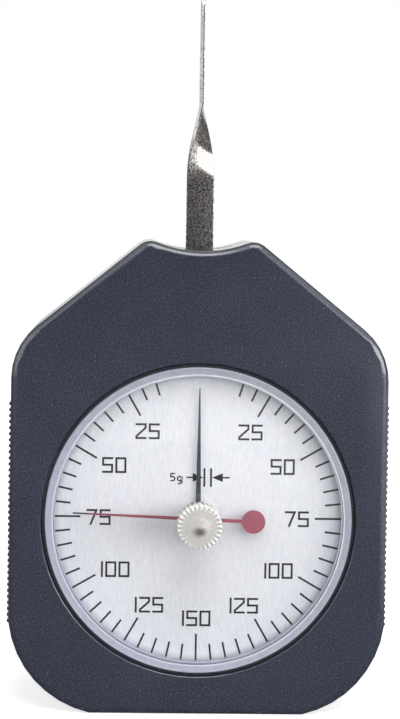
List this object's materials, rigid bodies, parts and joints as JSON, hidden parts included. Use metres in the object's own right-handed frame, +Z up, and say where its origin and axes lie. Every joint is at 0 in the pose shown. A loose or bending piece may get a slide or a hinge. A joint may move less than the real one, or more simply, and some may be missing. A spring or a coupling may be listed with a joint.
{
  "type": "force gauge",
  "caption": "Pocket dial tension gauge: moulded case with round window, two-way dial, needle, drag hand with knurled reset knob and a twisted steel feeler.",
  "frame": {"origin": "middle of the flat base of the case", "axes": "+Z up along the feeler, -Y out of the dial, +X to the right as the dial is read"},
  "size_m": [0.0628, 0.0301, 0.1187],
  "materials": {
    "housing": "fine moulded grain",
    "lens": "clear, polished",
    "seal": "matt",
    "dial_silver": "silvered, fine grain",
    "black_enamel": "satin",
    "red_enamel": "satin",
    "nickel": "plated, knurled",
    "feeler_steel": "ground along its length",
    "steel": "turned",
    "spring_steel": "blued",
    "brass": "turned"
  },
  "bodies": {
    "housing": {"front_case": "housing", "rear_cover": "housing", "crystal": "lens", "crystal_seal": "seal", "dial_plate": "dial_silver", "front_plate": "brass", "rear_plate": "brass", "lever_front_bush": "brass", "lever_rear_bush": "brass", "arbor_front_bush": "brass", "arbor_rear_bush": "brass", "stop_pin_1": "steel", "stop_pin_2": "steel", "measuring_spring": "spring_steel", "spring_stud": "brass", "hair_spring": "spring_steel", "hair_spring_stud": "brass", "cover_screw_1": "steel", "cover_screw_2": "steel", "cover_screw_3": "steel", "cover_screw_4": "steel", "movement_screw_1": "steel", "movement_screw_2": "steel", "movement_screw_3": "steel", "movement_screw_4": "steel", "pillar_screw_1": "steel", "pillar_screw_2": "steel", "pillar_screw_3": "steel", "pillar_screw_4": "steel", "pillar_1": "brass", "pillar_2": "brass", "pillar_3": "brass", "pillar_4": "brass"},
    "feeler": {"lever_shaft": "steel", "feeler_hub": "brass", "feeler_blade": "feeler_steel", "clamp_plate": "steel", "blade_screw_1": "steel", "blade_screw_2": "steel", "sector_gear": "brass", "sector_collar": "brass", "measuring_spring_collet": "brass"},
    "pointer": {"needle_arbor": "steel", "pinion": "steel", "hair_spring_collet": "brass", "needle_hub": "brass", "needle": "black_enamel", "drive_pin": "black_enamel"},
    "drag_pointer": {"reset_knob": "nickel", "knob_stem": "steel", "friction_washer": "steel", "drag_hand": "red_enamel", "drag_hand_boss": "brass"}
  },
  "joints": [
    {"name": "feeler_swing", "type": "hinge", "parent": "housing", "child": "feeler", "pos_m": [0, 0, 0.0662], "axis": [0, 1, 0], "range_deg": [-15, 15], "stiffness_Nm_per_rad": 0.295},
    {"name": "needle_turn", "type": "hinge", "parent": "housing", "child": "pointer", "pos_m": [0, 0, 0.0322], "axis": [0, 1, 0], "range_deg": [-181, 181]},
    {"name": "drag_hand_turn", "type": "hinge", "parent": "housing", "child": "drag_pointer", "pos_m": [0, 0, 0.0322], "axis": [0, 1, 0], "range_deg": [-264, 80]}
  ],
  "couplings": [
    {"joint": "needle_turn", "follows": "feeler_swing", "ratio": -12}
  ]
}
